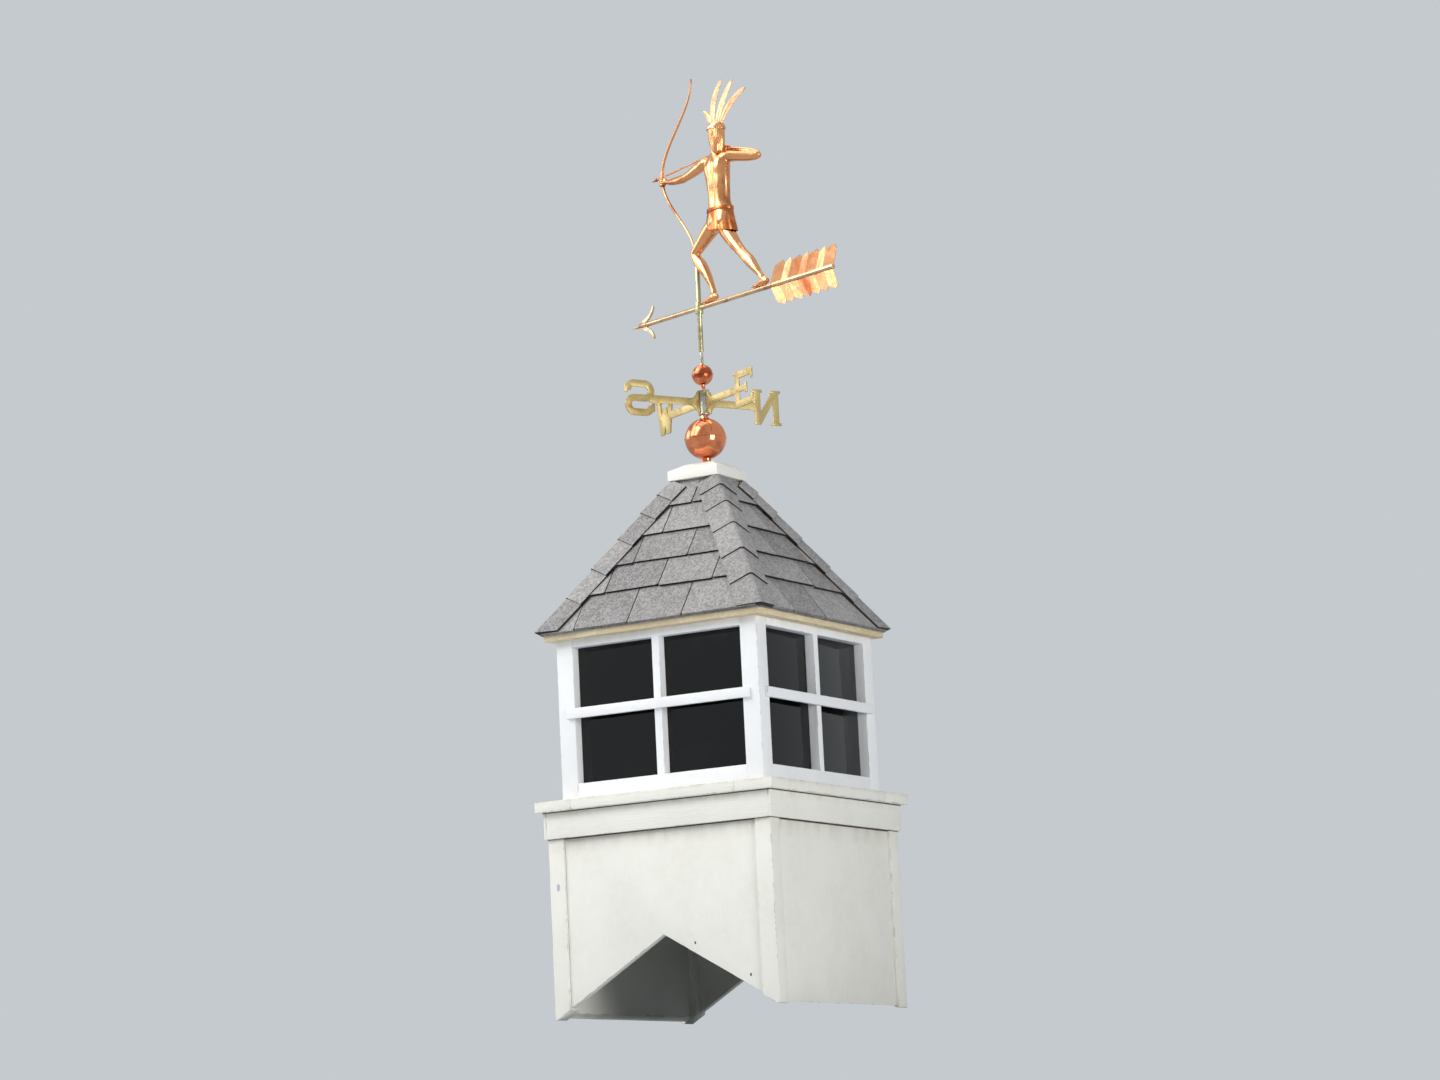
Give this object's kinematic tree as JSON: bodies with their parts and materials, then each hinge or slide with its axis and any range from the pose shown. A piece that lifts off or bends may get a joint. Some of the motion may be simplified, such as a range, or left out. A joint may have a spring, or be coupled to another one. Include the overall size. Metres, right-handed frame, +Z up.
{
  "type": "garage roof cupola with weathervane",
  "caption": "Square roof cupola with a notched base, glazed lantern, shingled hip roof, and an archer weathervane that turns on its spindle.",
  "frame": {"origin": "centre of the plan, level with the feet of the corner boards", "axes": "+Z up, X along the roof ridge below, Y across the ridge; front is -Y"},
  "size_m": [0.653, 0.8078, 2.3051],
  "materials": {
    "cream_paint": "weathered cream paint on boards",
    "white_paint": "white paint on boards",
    "aged_wood": "bare aged plywood",
    "grey_shingle": "mineral granules on asphalt",
    "window_glass": "clear glass over a dark inside",
    "steel_rod": "dull steel",
    "polished_copper": "polished copper",
    "rose_copper": "aged rose copper",
    "aged_brass": "aged yellow brass"
  },
  "bodies": {
    "cupola": {"front_panel": "cream_paint", "right_panel": "cream_paint", "back_panel": "cream_paint", "left_panel": "cream_paint", "front_left_corner_board": "cream_paint", "front_right_corner_board": "cream_paint", "back_right_corner_board": "cream_paint", "back_left_corner_board": "cream_paint", "front_fascia": "cream_paint", "right_fascia": "cream_paint", "back_fascia": "cream_paint", "left_fascia": "cream_paint", "front_ledge": "cream_paint", "right_ledge": "cream_paint", "back_ledge": "cream_paint", "left_ledge": "cream_paint", "lantern_posts": "white_paint", "front_window": "white_paint", "right_window": "white_paint", "back_window": "white_paint", "left_window": "white_paint", "window_glass": "window_glass", "soffit": "aged_wood", "roof_deck": "aged_wood", "front_shingles": "grey_shingle", "right_shingles": "grey_shingle", "back_shingles": "grey_shingle", "left_shingles": "grey_shingle", "hip_caps": "grey_shingle", "roof_cap": "white_paint", "spindle": "steel_rod", "large_globe": "polished_copper", "compass_hub": "steel_rod", "small_globe": "polished_copper", "north_arm": "aged_brass", "west_arm": "aged_brass", "south_arm": "aged_brass", "east_arm": "aged_brass"},
    "vane": {"vane_tube": "aged_brass", "arrow_shaft": "aged_brass", "arrow_head": "aged_brass", "arrow_feathers": "rose_copper", "archer": "rose_copper", "headdress": "rose_copper", "bow": "rose_copper"}
  },
  "joints": [
    {"name": "vane_spin", "type": "hinge", "parent": "cupola", "child": "vane", "pos_m": [0, 0, 1.7], "axis": [0, 0, 1], "continuous": true}
  ]
}
